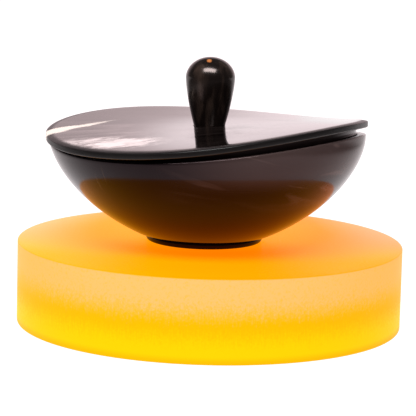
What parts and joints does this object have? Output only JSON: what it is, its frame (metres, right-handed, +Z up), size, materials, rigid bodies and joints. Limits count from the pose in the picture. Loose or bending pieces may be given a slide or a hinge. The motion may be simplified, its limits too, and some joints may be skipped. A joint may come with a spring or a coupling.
{
  "type": "dappen dish",
  "caption": "Polished dark horn bowl on a low foot ring, with a thin saddle-shaped lid and turned knob, standing on a thick frosted amber disc.",
  "frame": {"origin": "centre of the disc's underside", "axes": "+Z up, +X to the right and -Y towards the viewer in the reference view"},
  "size_m": [0.094, 0.094, 0.065],
  "materials": {
    "frosted_amber": "frosted, translucent",
    "horn": "polished dark horn with brown streaks",
    "horn_lid": "polished dark horn with pale streaks",
    "horn_knob": "polished dark horn"
  },
  "bodies": {
    "base": {"base_disc": "frosted_amber"},
    "dish": {"bowl": "horn", "foot_ring": "horn"},
    "lid": {"lid_plate": "horn_lid", "lid_flange": "horn", "knob": "horn_knob"}
  },
  "joints": [
    {"name": "dish_lift", "type": "slide", "parent": "base", "child": "dish", "axis": [0, 0, 1], "range_m": [0, 0.05]},
    {"name": "lid_lift", "type": "slide", "parent": "dish", "child": "lid", "axis": [0, 0, 1], "range_m": [0, 0.045]}
  ]
}
